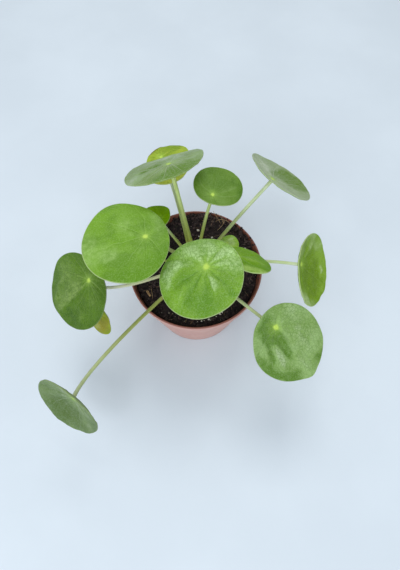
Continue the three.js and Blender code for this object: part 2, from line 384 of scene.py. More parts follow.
def soilMaterial():
    material, shader, place = newMaterial("dark peat")
    tone = blend(mottle(place, 500, 6, 0.35, 0.62, rough=0.65), soil["dark"], soil["middle"])
    # pale flecks: painted glints on damp peat
    flecks = fade(cells(place, 900), 0.16, 0.05)
    chance = mottle(place, 260, 2, 0.52, 0.62)
    tone = blend(times(flecks, chance), tone, soil["light"])
    coarse = bump(grain(place, 700, 6, 0.7), 0.9, 0.0012)
    feed(shader, {"Base Color": tone, "Roughness": varied(place, 420, 3, 0.72, 0.95),
                  "Specular IOR Level": soil["shine"],
                  "Normal": bump(cells(place, 1500), 0.5, 0.0005, coarse)})
    return material


def makeSoil(material):
    bm = bmesh.new()
    edge = innerRadius(soil["level"]) - soil["gap"]
    line = wireLine(bm, [(0, 0, soil["holeFoot"]), (soil["hole"], 0, soil["holeFoot"]),
                         (soil["hole"], 0, soil["level"]), (edge, 0, soil["level"]),
                         (innerRadius(soil["foot"]) - soil["footIn"], 0, soil["foot"]),
                         (0, 0, soil["foot"])])
    bmesh.ops.subdivide_edges(bm, edges=[line[2]], cuts=soil["rings"] - 1)
    spinAll(bm, soil["turns"])
    for vert in bm.verts:
        if vert.co.z > soil["level"] - 1e-3:
            radius = hypot(vert.co.x, vert.co.y)
            rim = innerRadius(soilPlain(*vert.co.xy.normalized() * edge)) - soil["gap"]
            share = max(0, (radius - soil["edgeFrom"]) / (edge - soil["edgeFrom"]))
            vert.co.xy = vert.co.xy * lerp(1, rim / edge, share)
            vert.co.z = soilTop(vert.co.x, vert.co.y)
    faceOutward(bm)
    finishPiece(bm, "soil_bed", [material], "soil")


# A random place on the soil, clear of the stem's hole.
def soilPoint(rand, most):
    while True:
        x, y = rand.uniform(-most, most), rand.uniform(-most, most)
        if soil["hole"] + 1 < hypot(x, y) < most:
            return x, y


# Adds a small finished shape to a larger one, which is much quicker than working in it.
def addTo(bm, part):
    mesh = bpy.data.meshes.new("part")
    part.to_mesh(mesh)
    part.free()
    bm.from_mesh(mesh)
    bpy.data.meshes.remove(mesh)


# One lump of the given size, squashed and roughened, set down at a place.
def addLump(bm, place, size, rand, finer=2, jagged=0.3):
    lump = bmesh.new()
    made = bmesh.ops.create_icosphere(lump, subdivisions=finer, radius=1)["verts"]
    shape = [size * rand.uniform(*span) for span in ((0.7, 1.25), (0.6, 1.0), (0.45, 0.75))]
    turn = Matrix.Rotation(rand.uniform(0, tau), 4, "Z")
    turn = turn @ Matrix.Rotation(rand.uniform(-0.6, 0.6), 4, "X")
    shift = rand.uniform(0, 90)
    for vert in made:
        vert.co *= 1 + jagged * noise.noise(vert.co * 1.6 + Vector((shift, 0, 0)))
    bmesh.ops.scale(lump, vec=shape, verts=made)
    bmesh.ops.transform(lump, matrix=Matrix.Translation(place) @ turn, verts=made)
    addTo(bm, lump)


# Crumbs: all over the soil, in a bank against the wall behind the heap, and on the lip.
crumbs = {
    "count": 900, "reach": 42, "sizes": (0.35, 0.5, 0.6, 0.8, 1.0, 1.4),
    "bank": 420, "bankShift": -6, "bankSpread": 27, "bankDepth": 2.2, "bankSizes": (0.5, 0.7, 0.9, 1.2),
    "onLip": ((76, 1.0), (74, 0.7), (71, 0.8), (66, 0.5), (59, 0.6), (53, 0.9), (48, 0.6),
              (43, 1.0), (41, 0.7), (37, 0.5), (30, 0.8), (27, 0.5), (22, 0.45), (214, 0.5)),
    "dark": "140f11", "pale": "463736", "speck": "86746c", "shine": 0.3,
}


def crumbMaterial():
    material, shader, place = newMaterial("peat crumbs")
    tone = blend(mottle(place, 330, 3, 0.38, 0.62), crumbs["dark"], crumbs["pale"])
    tone = blend(mottle(place, 1200, 4, 0.55, 0.7, rough=0.7), tone, crumbs["speck"])
    feed(shader, {"Base Color": tone, "Roughness": varied(place, 500, 2, 0.7, 0.95),
                  "Specular IOR Level": crumbs["shine"],
                  "Normal": bump(grain(place, 1600, 5, 0.7), 0.8, 0.0006)})
    return material


def makeCrumbs(material):
    rand = random.Random(11)
    bm = bmesh.new()
    for _ in range(crumbs["count"]):
        x, y = soilPoint(rand, crumbs["reach"])
        size = rand.choice(crumbs["sizes"])
        addLump(bm, (x, y, soilTop(x, y) + 0.15 * size), size, rand, 2 if size > 0.5 else 1)
    for _ in range(crumbs["bank"]):
        angle = radians(soil["heapBearing"] + rand.gauss(crumbs["bankShift"], crumbs["bankSpread"]))
        inward = abs(rand.gauss(0, crumbs["bankDepth"]))
        radius = innerRadius(pot["height"]) - 0.7 - inward
        x, y = radius * cos(angle), radius * sin(angle)
        top = soilTop(x, y)
        lift = rand.random() * max(0, pot["height"] - 0.3 - top) * max(0, 1 - inward / 5)
        addLump(bm, (x, y, top + lift), rand.choice(crumbs["bankSizes"]), rand)
    for bearing, size in crumbs["onLip"]:
        radius = pot["rim"] - 0.9
        angle = radians(bearing)
        addLump(bm, (radius * cos(angle), radius * sin(angle), pot["height"] + 0.3), size, rand)
    finishPiece(bm, "soil_crumbs", [material])


# Bark shreds: thin tapered splinters, lying almost flat.
shreds = {"count": 170, "reach": 40, "length": (1.6, 5.5), "butt": (0.12, 0.3), "point": (0.04, 0.12),
          "dark": "3a251c", "pale": "7d5c45", "fibre": "a58a6c", "roughness": 0.8}


def shredMaterial():
    material, shader, place = newMaterial("bark shreds")
    tone = blend(mottle(place, 150, 2, 0.4, 0.6), shreds["dark"], shreds["pale"])
    tone = blend(mottle(place, 2500, 3, 0.45, 0.65, 0, 0.6), tone, shreds["fibre"])
    feed(shader, {"Base Color": tone, "Roughness": shreds["roughness"],
                  "Normal": bump(grain(place, 2200, 4, 0.7), 0.6, 0.0004)})
    return material


def makeShreds(material):
    rand = random.Random(23)
    bm = bmesh.new()
    for _ in range(shreds["count"]):
        x, y = soilPoint(rand, shreds["reach"])
        length = rand.uniform(*shreds["length"])
        shred = bmesh.new()
        butt, point = rand.uniform(*shreds["butt"]), rand.uniform(*shreds["point"])
        made = bmesh.ops.create_cone(shred, cap_ends=True, segments=5, radius1=butt, radius2=point,
                                     depth=length)["verts"]
        lie = Matrix.Rotation(radians(90 + rand.uniform(-14, 14)), 3, "X")
        lie = Matrix.Rotation(rand.uniform(0, tau), 3, "Z") @ lie
        bmesh.ops.rotate(shred, verts=made, matrix=lie)
        bmesh.ops.translate(shred, verts=made, vec=(x, y, soilTop(x, y) + 0.2))
        addTo(bm, shred)
    finishPiece(bm, "soil_shreds", [material])


# Perlite: white porous grains, placed where the photograph shows them, and some dust.
perlite = {
    "grains": [
        (1.4, 30.6, 0.85), (2.1, 25.7, 0.6), (11.4, 24.7, 0.8), (34.6, 15.6, 0.8), (16, -32.6, 0.85),
        (8.7, -36.1, 0.65), (11.3, -36.3, 0.6), (3.8, -37.6, 0.6), (-28.5, -15.7, 0.75),
        (-17.8, -31.8, 0.5), (30.5, -21.5, 0.5), (-34.5, -6.5, 0.45), (27.5, 24.5, 0.4),
        (9.9, -36.9, 0.4), (13.4, -34.8, 0.35), (5.5, -37, 0.35), (17.5, -31.5, 0.45), (1.1, -38.2, 0.35),
    ],
    "dust": 46, "reach": 41, "dustSize": (0.16, 0.34),
    "grey": "b9ac9b", "white": "efe9dd", "roughness": 0.85,
}


def perliteMaterial():
    material, shader, place = newMaterial("perlite")
    tone = blend(mottle(place, 900, 4, 0.35, 0.6), perlite["grey"], perlite["white"])
    feed(shader, {"Base Color": tone, "Roughness": perlite["roughness"],
                  "Normal": bump(cells(place, 2600), 0.7, 0.0004)})
    return material


def makePerlite(material):
    rand = random.Random(5)
    bm = bmesh.new()
    for x, y, size in perlite["grains"]:
        addLump(bm, (x, y, soilTop(x, y) + 0.45 * size), size, rand, 3, 0.45)
    for _ in range(perlite["dust"]):
        x, y = soilPoint(rand, perlite["reach"])
        addLump(bm, (x, y, soilTop(x, y) + 0.25), rand.uniform(*perlite["dustSize"]), rand, 1)
    finishPiece(bm, "perlite_grains", [material])


# One larger chip of bark at the front left.
chip = {"place": (-31.8, -18.2), "lift": 0.5, "turn": -58, "size": (4.6, 1.5, 0.7), "worn": 0.35,
        "dark": "7c5a3c", "pale": "c09a70", "roughness": 0.75}


def chipMaterial():
    material, shader, place = newMaterial("tan bark chip")
    tone = blend(mottle(place, 900, 4, 0.4, 0.6), chip["dark"], chip["pale"])
    feed(shader, {"Base Color": tone, "Roughness": chip["roughness"],
                  "Normal": bump(grain(place, 1500, 4), 0.6, 0.0004)})
    return material


def makeChip(material):
    bm = bmesh.new()
    bmesh.ops.create_cube(bm, size=1)
    bmesh.ops.subdivide_edges(bm, edges=bm.edges[:], cuts=3, use_grid_fill=True)
    bmesh.ops.scale(bm, vec=chip["size"], verts=bm.verts)
    # the clock would seed this kind of noise
    noise.seed_set(4)
    for vert in bm.verts:
        vert.co += noise.noise_vector(vert.co * 0.9) * chip["worn"]
    bmesh.ops.rotate(bm, verts=bm.verts, matrix=Matrix.Rotation(radians(chip["turn"]), 3, "Z"))
    bmesh.ops.translate(bm, verts=bm.verts, vec=(*chip["place"], soilTop(*chip["place"]) + chip["lift"]))
    faceOutward(bm)
    finishPiece(bm, "bark_chip", [material])


# Root hairs: fine tan threads on the heap, each a curve through x, y and lift above the soil.
roots = {
    "width": 0.32, "steps": 22, "sides": 6, "dark": "9a7a55", "pale": "cbab82", "roughness": 0.6,
    "threads": [
        [(13.6, 42.3, 2.2), (16.4, 41.4, 3.6), (18.8, 38.9, 3.2), (19.5, 34.8, 1.0)],
        [(12.4, 43.6, 3.0), (13.8, 40.9, 3.2), (16.0, 37.8, 2.8), (18.0, 34.6, 0.6)],
        [(19.8, 38.4, 1.4), (20.8, 35.4, 3.0), (19.0, 32.2, 2.4), (15.2, 30.0, 0.4)],
        [(24.5, 34.2, 1.3), (21.8, 37.2, 3.0), (17.4, 38.6, 2.6), (14.0, 36.2, 0.8)],
        [(-30.4, -14.2, 0.3), (-30.0, -16.8, 1.2), (-28.8, -19.4, 0.8), (-29.4, -21.6, 0.2)],
    ],
}


def rootMaterial():
    material, shader, place = newMaterial("root threads")
    tone = blend(mottle(place, 400, 3, 0.4, 0.6), roots["dark"], roots["pale"])
    feed(shader, {"Base Color": tone, "Roughness": roots["roughness"],
                  "Normal": bump(grain(place, 3000, 3), 0.4, 0.0002)})
    return material


# Grows one ring of edges out of the last one, and keeps the order of its points.
def growRing(bm, ring, edges):
    grown = bmesh.ops.extrude_edge_only(bm, edges=edges)["geom"]
    fresh = {item for item in grown if isinstance(item, bmesh.types.BMVert)}
    edges = [item for item in grown
             if isinstance(item, bmesh.types.BMEdge) and fresh.issuperset(item.verts)]
    ring = [next(edge.other_vert(old) for edge in old.link_edges if edge.other_vert(old) in fresh)
            for old in ring]
    return ring, edges


# A tube of rings extruded one after another along a path, each ring square to it.
# Its UV map "run" has the turn around the tube and the share of the way along it.
def sweepTube(bm, path, radii, sides, rib=0.0, ribs=5):
    run = bm.loops.layers.uv.get("run") or bm.loops.layers.uv.new("run")
    tangents = [(b - a).normalized() for a, b in zip(path, path[1:])]
    tangents.append(tangents[-1])
    side = tangents[0].orthogonal().normalized()
    ring = bmesh.ops.create_circle(bm, segments=sides, radius=1)["verts"]
    turns = [atan2(vert.co.y, vert.co.x) for vert in ring]
    edges = list({edge for vert in ring for edge in vert.link_edges})
    rings = []
    for step, (point, along, radius) in enumerate(zip(path, tangents, radii)):
        if step:
            ring, edges = growRing(bm, ring, edges)
        side = (side - along * side.dot(along)).normalized()
        across = along.cross(side)
        for vert, turn in zip(ring, turns):
            reach = radius * (1 + rib * cos(ribs * turn))
            vert.co = point + side * (reach * cos(turn)) + across * (reach * sin(turn))
        rings.append(ring)
    bm.faces.new(rings[0])
    bm.faces.new(rings[-1])
    where = {vert: (turn / tau, step / (len(path) - 1))
             for step, verts in enumerate(rings) for vert, turn in zip(verts, turns)}
    for face in {face for verts in rings for vert in verts for face in vert.link_faces}:
        furthest = max(where[loop.vert][0] for loop in face.loops)
        for loop in face.loops:
            turn, share = where[loop.vert]
            loop[run].uv = (turn + 1 if furthest - turn > 0.5 else turn, share)


def makeRoots(material):
    bm = bmesh.new()
    steps = roots["steps"]
    radii = [roots["width"] / 2 * (1 - 0.5 * step / (steps - 1)) for step in range(steps)]
    for thread in roots["threads"]:
        ends = [Vector((x, y, soilTop(x, y) + lift)) for x, y, lift in thread]
        sweepTube(bm, interpolate_bezier(*ends, steps), radii, roots["sides"])
    faceOutward(bm)
    finishPiece(bm, "root_threads", [material])


makeSoil(soilMaterial())
makeCrumbs(crumbMaterial())
makeShreds(shredMaterial())
makePerlite(perliteMaterial())
makeChip(chipMaterial())
makeRoots(rootMaterial())
print("soil made")


# Stem: short, woody below and green above, with a scar where each old leaf stood.
stem = {"foot": 46.3, "base": 46, "top": 79.5, "radius": 3.1, "nodes": 6, "turns": 48, "rings": 120,
        "scarDepth": 0.22, "scarTurn": 2.4, "bark": "6f6443", "young": "8f9659", "scar": "4c3f2b"}


def stemRadius(height):
    along = (height - stem["base"]) / (stem["top"] - stem["base"])
    swelling = 0.06 * cos(tau * stem["nodes"] * along)
    return stem["radius"] * (1 - 0.14 * along + swelling) * min(1, 0.45 + 6 * (1 - along))


def stemMaterial():
    material, shader, place = newMaterial("woody stem")
    height = split(place)[2]
    tone = blend(fade(height, 60 * mm, 76 * mm), stem["bark"], stem["young"])
    tone = blend(mottle(place, 420, 5, 0.5, 0.68, rough=0.65), tone, stem["scar"])
    feed(shader, {"Base Color": tone, "Roughness": varied(place, 600, 3, 0.55, 0.8),
                  "Normal": bump(grain(place, 900, 5, 0.65), 0.6, 0.0005)})
    return material


# Scars run part of the way round, at each node of the stem.
def scarDepth(turn, z):
    depth = 0
    for node in range(stem["nodes"] + 1):
        gap = remainder(turn - stem["scarTurn"] * node, tau)
        level = lerp(stem["base"], stem["top"], node / stem["nodes"]) - 1.4
        depth += stem["scarDepth"] * bell(z - level, 0.35) * bell(gap, 1.1)
    return depth


def makeStem(material):
    bm = bmesh.new()
    line = wireLine(bm, [(1, 0, stem["foot"]), (1, 0, stem["top"])])
    bmesh.ops.subdivide_edges(bm, edges=line, cuts=stem["rings"] - 1)
    spinAll(bm, stem["turns"])
    for vert in bm.verts:
        turn = atan2(vert.co.y, vert.co.x)
        around = Vector((2.2 * cos(turn), 2.2 * sin(turn), vert.co.z / 1.4))
        rough = 0.16 * noise.noise(around) + 0.07 * noise.noise(around * 2.7)
        radius = stemRadius(vert.co.z) + rough - scarDepth(turn, vert.co.z)
        vert.co.x, vert.co.y = radius * cos(turn), radius * sin(turn)
    bmesh.ops.edgeloop_fill(bm, edges=[edge for edge in bm.edges if edge.is_boundary])
    caps = [face for face in bm.faces if len(face.verts) > 4 and face.calc_center_median().z > 70]
    bmesh.ops.inset_region(bm, faces=caps, thickness=0.5, depth=0.35)
    faceOutward(bm)
    finishPiece(bm, "stem_body", [material], "stem")


makeStem(stemMaterial())
print("stem made")


# Leaves. In each, what comes before its colours is the plant's own form, as in the CAD model:
# where the blade stands and how its petiole runs. The rest is its finish.
#   dot, tip, drop, roll      the blade's dot, and how the blade is turned
#   size, offset, dome, bend  its length and width, and how it is cupped
#   waves, nicks              ripples and nicks of the edge
#   node, reach, neck, girth  the petiole's foot, its run and its thickness
#   colours                   main green, shade green, pale parts and painted highlight, deepest parts and painted shade
#   veins, pucker, lumps      number of main veins, bulge between them, small unevenness
#   folds                     ridges and grooves: from x, y to x, y, height, width to left and right; the height also sets painted highlight and shade
#   patches                   painted highlights, painted shade and the leaf's own paler and darker spots: x, y, reach in x and y, how strong
#   shine, net, haze          roughness, strength of the fine net, pale haze at a low angle
#   veinPale, gloss, dotSize  paleness of the veins, strength of the shine, size of the dot
#   aged                      brown flecks and brown edge of a leaf that is yellowing
plainLeaf = {"nicks": [], "haze": 0.0, "dotSize": 1, "aged": None}
# top_left, top_right and far_left stand steep; their paler, greyer greens hold a painted sheen of their
# low-angle reflection
leaves = [
    dict(name="left_big", dot=(-27, -10.5, 121.2), tip=-165, drop=-1.4, roll=0,
         size=(48.2, 50.7), offset=11.3, dome=1.5, bend=0.8,
         waves=[(2, 0.33, -137), (3, 0.74, -142), (5, 0.35, 20)],
         node=(195, 74.5), reach=(-17.7, -0.3, 93.7), neck=4, girth=(2.4, 2),
         colours=("7aaa2a", "669420", "b4d880", "5e9000"), veins=8, pucker=0.2, lumps=0.2,
         folds=[(6.5, -1, 10, -8, 0.15, 2.2, 2.2), (11, 2, 21, -7, -0.4, 3, 3),
                (2.5, 5.5, 7, 10, 0.25, 1.6, 2), (16, 8, 26, 10, 0.3, 3, 3)],
         patches=[(33, 0, 6, 16, 0.5), (24, -24, 14, 5, -0.5), (11, -10, 4, 4, 0.6), (23, 4, 9, 7, 0.45),
                  (6, 21, 24, 9, -1), (-8, 13, 8, 9, -0.8), (-9, -6, 5, 12, 0.4)],
         shine=0.46, net=0.5, veinPale=0.12, gloss=0.3),
    dict(name="middle", dot=(6.1, -24, 111.2), tip=-119, drop=8.4, roll=-10,
         size=(48.7, 47.5), offset=6.3, dome=1.6, bend=0.2,
         waves=[(2, 0.24, 79), (3, 0.49, -106), (6, 0.4, 50)],
         node=(-70, 75.5), reach=(4, -13, 88), neck=8, girth=(2.4, 2),
         colours=("86b62e", "70a014", "c8e8a4", "5c9004"), veins=8, pucker=0.85, lumps=0.3,
         folds=[(1, 1.5, 5, 17, -0.5, 1, 1), (3, 2.5, 13, 14, 0.75, 3.4, 0.9),
                (1, -1, -4, -10, 0.4, 0.9, 0.9), (13, -6, 25, -4, 0.5, 2, 2.2),
                (3, -14.5, 11, -17, 0.55, 1.7, 2), (10, -17, 23, -12.5, 0.55, 1.7, 2),
                (4, -11, 17, -12.5, -0.4, 1.6, 1.6), (4, -21, 18, -19, 0.45, 1.5, 1.2),
                (0, 15, 6, 22, 0.4, 1.6, 1.6), (-1, 1, -12, 9, -0.3, 0.9, 0.9),
                (-1, -1, -13, -6, -0.3, 0.9, 0.9), (-1, 0, -15, 2, -0.3, 0.9, 0.9),
                (-1, 2, -6, 14, -0.3, 0.9, 0.9)],
         patches=[(-9, 2, 8, 18, 0.9), (20, 9, 10, 12, -1.1), (2, -14, 9, 7, 0.6), (10, -5, 9, 6, -0.7),
                  (3, 7, 3, 6, -0.5), (6, 20, 5, 5, -0.8)],
         shine=0.3, net=1.1, veinPale=0.05, gloss=0.4, dotSize=1.3),
    dict(name="top_left", dot=(-14.8, 30.9, 131.3), tip=125.5, drop=35.3, roll=-3,
         size=(50, 49.4), offset=9.7, dome=2.9, bend=0.5,
         waves=[(2, 0.71, -82), (3, 0.54, -50)],
         node=(95.7, 70.1), reach=(-8.7, 23.8, 94.2), neck=12, girth=(2.9, 2.4),
         colours=("9ab67a", "849f5a", "d0dac6", "608816"), veins=9, pucker=0.2, lumps=0.4,
         folds=[(5, 1, 11, 17, -0.8, 2, 2.5), (7, -3, 24, -2, 0.4, 2, 3), (2, -2, 14, -18, 0.3, 2, 2.5)],
         patches=[(-13, 2, 7, 20, -1.5), (9, 8, 3, 8, -0.6), (8, 22, 8, 5, 0.5), (18, -6, 9, 14, 0.45)],
         shine=0.4, net=0.5, veinPale=0.22, gloss=0.2, haze=0.04),
    dict(name="top_right", dot=(45.9, 30.4, 118.6), tip=41.8, drop=40.9, roll=-3.3,
         size=(43.6, 44), offset=8.8, dome=-2.4, bend=-0.2,
         waves=[(2, 0.48, 78), (3, 0.38, -9)],
         node=(35.5, 65.4), reach=(22.2, 18.2, 90.1), neck=2.7, girth=(2.4, 2.1),
         colours=("aabc94", "9aae80", "d6deca", "628800"), veins=9, pucker=0.2, lumps=0.3,
         folds=[(5, 6, 28, 8, -0.55, 0.8, 11), (1, 1, 8, 16, 0.4, 2, 2.5)],
         patches=[(22, -5, 8, 10, -1.8), (-4, 0, 6, 18, 0.5), (4, 14, 9, 7, 0.5), (-2, -16, 5, 8, 0.4)],
         shine=0.4, net=0.5, veinPale=0.25, gloss=0.1, haze=0.02),
    dict(name="left_low", dot=(-63.2, -24, 93.8), tip=-159.5, drop=41.5, roll=15,
         size=(47.1, 48), offset=13.4, dome=0.5, bend=0.3,
         waves=[(2, 0.63, -87), (3, 0.45, 10), (5, 0.3, 80)],
         node=(182, 67.6), reach=(-68, -35.5, 80.2), neck=5.5, girth=(2.2, 2),
         colours=("5c8418", "4c720c", "94b060", "3a6202"), veins=8, pucker=0.22, lumps=0.25,
         folds=[(3, 0.2, 38, 1.8, 0.75, 1.2, 8), (15, 7, 23, 19, 0.35, 2, 2.4),
                (1, -2, 12, -12, 0.25, 1.2, 1.2), (11, -12, 26, -12, 0.25, 1.2, 1.2),
                (25, -12, 33, -5, 0.25, 1.2, 1.2), (0, 2, -2, 10, 0.2, 0.9, 0.9)],
         patches=[(25, -4, 8, 4, 0.1), (27, 8, 9, 6, -0.84), (8, 12, 8, 5, 0.28), (12, -17, 9, 6, 0.5)],
         shine=0.38, net=1, veinPale=0.3, gloss=0.25, haze=0.05, dotSize=0.95),
    dict(name="right_low", dot=(46.4, -51.6, 88.2), tip=-40.6, drop=27.9, roll=-5.8,
         size=(46.5, 45.2), offset=12.2, dome=0.4, bend=-0.2,
         waves=[(2, 1.01, -11), (3, 0.5, 56), (6, 0.35, 30)], nicks=[(-9, 0.06, 12)],
         node=(-42, 66.6), reach=(14.2, -19.4, 79.3), neck=3, girth=(2.2, 2),
         colours=("a0c27a", "88ac5a", "c2d8a8", "527e06"), veins=8, pucker=0.4, lumps=0.3,
         folds=[(1, -2.5, 21, -6, -0.8, 2, 3), (6, -9, 23, -13.5, 0.6, 2, 2),
                (-1, -7, 15, -16, -0.5, 1.8, 1.8), (-8, -5, 1, -6, -0.5, 4, 4),
                (11, 10.5, 27, 9, -0.25, 0.9, 0.9), (3, 4, 14, 8, -0.3, 1.4, 1.6),
                (18, -3, 33, -3, 0.35, 2.5, 2), (20, -15, 28, -9, 0.3, 1.2, 1.2)],
         patches=[(-4, -3, 7, 6, -1), (5, -3, 7, 3.2, -1.1), (14, -4.5, 6, 2.5, -0.9),
                  (2, -10, 5, 2.5, -0.9), (10, -13, 5, 2, -0.7), (13, -8.8, 7, 1.8, 0.7),
                  (33, 11, 3, 9, -0.9), (28, -14, 7, 6, -1.3), (14, -21, 10, 5, -1), (16, 6, 10, 7, 0.4),
                  (0, 14, 9, 6, 0.35)],
         shine=0.36, net=1.05, veinPale=0.03, gloss=0.3, haze=0.1, dotSize=1.15),
    dict(name="far_left", dot=(-68.4, -89.3, 78.1), tip=-159.3, drop=68.4, roll=35.3,
         size=(43, 43.6), offset=12.5, dome=-2.1, bend=-1.5,
         waves=[(2, 0.23, 90)],
         node=(232, 64.5), reach=(-65.4, -73.4, 79.6), neck=2, girth=(2.5, 2.1),
         colours=("748e50", "5c7838", "bccaac", "4c6a10"), veins=9, pucker=0.22, lumps=0.4,
         folds=[(3, -1, 17, -18, 0.4, 1.8, 2.4), (3, 1, 9, 17, 0.35, 2, 2), (9, 0, 27, 1, -0.4, 5, 5)],
         patches=[(19, -2, 9, 14, -1.4), (-3, 0, 6, 14, 0.5), (17, 18, 9, 7, 0.4), (7, -17, 8, 6, -0.4)],
         shine=0.4, net=0.5, veinPale=0.14, gloss=0.2, haze=0.1),
    dict(name="right_edge", dot=(63.2, -14.8, 96.2), tip=2.3, drop=56.6, roll=-17.8,
         size=(43, 44.9), offset=9.2, dome=-3.8, bend=-0.5,
         waves=[(2, 0.21, 141), (3, 0.43, 17)], nicks=[(-31, -0.06, 9)],
         node=(-8.6, 63.5), reach=(37, -2.7, 85.8), neck=3.7, girth=(2.1, 1.9),
         colours=("8cb436", "7aa01c", "c4dc98", "688c00"), veins=8, pucker=0.3, lumps=0.45,
         folds=[(1, 2, 6, 18, 0.35, 1.8, 1.8), (12, -8, 17, -2, 0.4, 1.2, 1.2),
                (18, 4, 27, 6, 0.4, 1.4, 1.4), (6, -6, 24, -14, -0.3, 3, 3),
                (10, -13, 15, -9, 0.35, 1.2, 1.2)],
         patches=[(14, -3, 11, 12, -1.5), (4, 19, 20, 7, 0.5), (4, -21, 20, 6, 1.4), (-7, 0, 4, 18, 0.7),
                  (15, -2, 1.3, 1.3, 0.9), (12, -11, 1.4, 1, 0.8), (22, 7, 1.6, 1.6, 1),
                  (24, 4.5, 1.2, 2.4, 1.2)],
         shine=0.34, net=0.5, veinPale=0.04, gloss=0.03),
    dict(name="top_middle", dot=(10.6, 24.3, 111.9), tip=62.8, drop=-1.8, roll=-5.7,
         size=(28.2, 31), offset=7.3, dome=0.3, bend=0.5,
         waves=[(2, 0.5, -25), (3, 0.53, 117)],
         node=(72, 73.9), reach=(6.7, 25.8, 94.3), neck=4.3, girth=(2.2, 1.9),
         colours=("6e9430", "5c8420", "9cba70", "447008"), veins=7, pucker=0.15, lumps=0.3,
         folds=[(2.5, -3.5, 13, -10.5, 0.3, 1.5, 1.8), (12, -9, 19, -3, -0.35, 1.2, 2),
                (1, 0, 14, 8, 0.2, 1.5, 1.5)],
         patches=[(8, 5, 8, 8, -0.2), (9, -15, 7, 2.6, -0.7), (15, 8, 7, 7, -0.4), (8, 14, 5, 5, 0.3),
                  (-3, -8, 4, 4, 0.28)],
         shine=0.5, net=0.4, veinPale=0.14, gloss=0.3, dotSize=0.75),
    dict(name="yellowing", dot=(-23.1, 61.6, 103), tip=-49.7, drop=-3.2, roll=-15.7,
         size=(28.9, 32.1), offset=7.1, dome=1.2, bend=0,
         waves=[(2, 0.85, -93), (3, 1.23, 153)],
         node=(128.4, 62), reach=(-11.6, 39.5, 89.3), neck=7.2, girth=(2, 1.8),
         colours=("b8cc3c", "9eb834", "f6ff70", "789c18"), veins=7, pucker=0.2, lumps=0.6,
         folds=[(-6, -10, -7, 9, 0.7, 1.5, 2.5), (-4, 2, 5, 14, -0.5, 1.2, 1.2),
                (2, 0, 16, 4, 0.3, 2, 2)],
         # its strongest pale patch is painted light on the part that lies in the shade of top_left
         patches=[(17, -5, 9, 16, 2), (-1, 6, 8, 11, -1.5), (-7, -3, 4, 9, -0.8), (-2, -1, 3, 4, 0.5)],
         shine=0.5, net=0.3, veinPale=0.12, gloss=0.3, dotSize=0.8, aged=("8a6a2a", "6a5c22")),
    dict(name="right_inner", dot=(25.4, -10.8, 99), tip=-10.2, drop=13.2, roll=36,
         size=(30.1, 30), offset=6.4, dome=0.6, bend=0.3,
         waves=[(2, 0.15, 90), (3, 0.25, 120)],
         node=(8, 70), reach=(10, 1, 80), neck=7, girth=(2, 1.7),
         colours=("7eae14", "6a9c0c", "bada74", "5a9004"), veins=7, pucker=0.15, lumps=0.3,
         folds=[(1, 0, 19, -2, 0.3, 2, 2)],
         patches=[(8, -12, 14, 3.4, 1), (6, 9, 10, 4, -0.28)],
         shine=0.36, net=0.4, veinPale=0.12, gloss=0.05, dotSize=0.75),
    dict(name="left_back", dot=(-23.7, 20.8, 92.1), tip=124.8, drop=10.8, roll=7.3,
         size=(20, 18.4), offset=3.2, dome=0.6, bend=0.2,
         waves=[(2, 0.65, -87), (3, 0.59, -28)],
         node=(144.8, 73), reach=(-19, 16.8, 87.5), neck=3.3, girth=(2.1, 1.7),
         colours=("92c404", "86b602", "a6cc3a", "6ea000"), veins=7, pucker=0.12, lumps=0.25,
         folds=[(0, 0, 10, 1, -0.3, 2, 2)],
         patches=[(4, 3, 4, 4, 0.28)],
         shine=0.46, net=0.3, veinPale=0.06, gloss=0.05, dotSize=0.75),
    dict(name="drying", dot=(-62.9, -35.2, 71.4), tip=-69.2, drop=54.1, roll=-26.8,
         size=(25.7, 12.1), offset=7.2, dome=0.7, bend=0.1,
         waves=[(2, 0.41, 135), (3, 0.28, -156)],
         node=(188.4, 62.9), reach=(-74, 23, 73.8), neck=3.5, girth=(1.7, 1.4),
         colours=("a4c022", "b0a838", "ccd078", "8c8c1c"), veins=6, pucker=0.2, lumps=0.5,
         folds=[(0, 0, 17, 0, -0.5, 2, 2)],
         patches=[(8, -3, 12, 2.6, 0.84), (8, 3, 12, 2.6, -0.7)],
         shine=0.6, net=0.6, veinPale=0.2, gloss=0.3, dotSize=0.7),
    dict(name="young", dot=(21.2, 12.8, 73.5), tip=29.2, drop=6.4, roll=-1.8,
         size=(13.6, 12.7), offset=2, dome=1.1, bend=0,
         waves=[(2, 0.26, -104), (3, 0.33, -138)],
         node=(22, 62), reach=(12, 4.5, 64.6), neck=3, girth=(1.6, 1.3),
         colours=("bce83c", "9cd020", "e4f8ac", "6cac08"), veins=6, pucker=0.3, lumps=0.3,
         folds=[(0, 0, 7, 3, 0.3, 1.4, 1.2), (0, 0, -4, 3, 0.25, 1.2, 1.2)],
         patches=[(3, 0, 3, 3, 0.84), (-3, 2, 2, 2, 0.56)],
         shine=0.26, net=0.6, veinPale=0.1, gloss=0.5, dotSize=0.8),
]

blade = {
    "thickness": 0.8, "roundEdge": 0.24, "largeFrom": 35, "largeGrid": (42, 200), "smallGrid": (26, 120),
    "hollow": 0.5, "hollowReach": 1.7, "knob": 0.25, "knobReach": 0.7,
    "groove": 0.14, "grooveReach": 0.7, "veinCurve": 14, "foldWander": 0.9,
    # how strongly fold heights and vein bulges paint highlight and shade, and how strongly lumps vary the
    # tone
    "foldPaintedLight": 1.3, "bulgePaintedLight": 0.7, "lumpTone": 0.8,
    # main veins and two finer kinds: how many times as many, width, strength, where they start
    "veinKinds": ((1, 0.005, 1.0, 0.0), (3, 0.0035, 0.8, 0.0), (7, 0.003, 0.4, 0.25)),
    "dotColour": "cbea66", "glowColour": "a4cc58", "edgeColour": "c9d8a0", "underside": "8ea377",
    "hazeColour": "e4ecf2", "hazeRoughness": 0.45, "refraction": 1.45, "through": 0.2,
    "edgePale": 0.6, "edgePaleHazy": 0.2,
}


